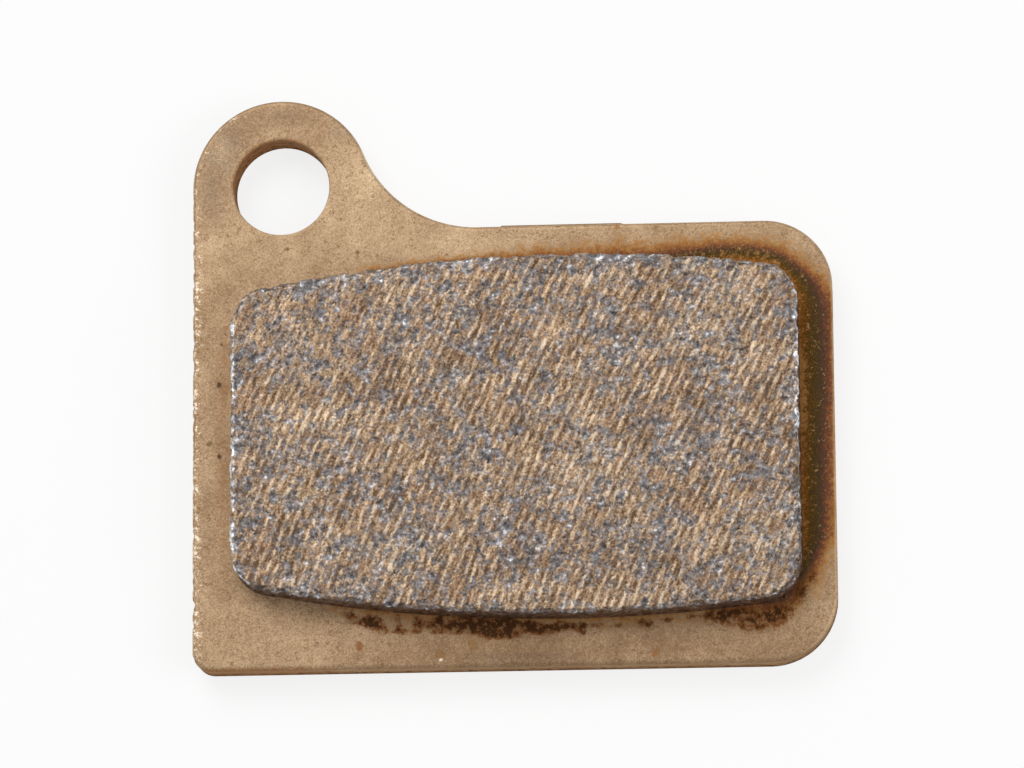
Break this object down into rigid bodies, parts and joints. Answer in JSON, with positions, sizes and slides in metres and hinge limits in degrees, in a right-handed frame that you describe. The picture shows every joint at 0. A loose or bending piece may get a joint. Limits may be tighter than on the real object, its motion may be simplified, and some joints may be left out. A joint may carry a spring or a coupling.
{
  "type": "bicycle disc brake pad",
  "caption": "Disc brake pad for a bicycle caliper: a steel backing plate with a single pin ear, and a ground sintered-metal friction block bonded to its face.",
  "frame": {"origin": "on the axis of the pin bore, at the back face of the plate", "axes": "+X along the long side of the plate away from the ear, +Y from the body up to the ear, +Z out of the friction face"},
  "size_m": [0.033, 0.0298, 0.004],
  "materials": {
    "plated_steel": "copper-plated sheet steel, matt, tinted brown and green by furnace heat round the block",
    "sintered_metal": "porous sintered metal, ground on its face"
  },
  "bodies": {
    "root": {"backing_plate": "plated_steel", "friction_block": "sintered_metal"}
  },
  "joints": []
}
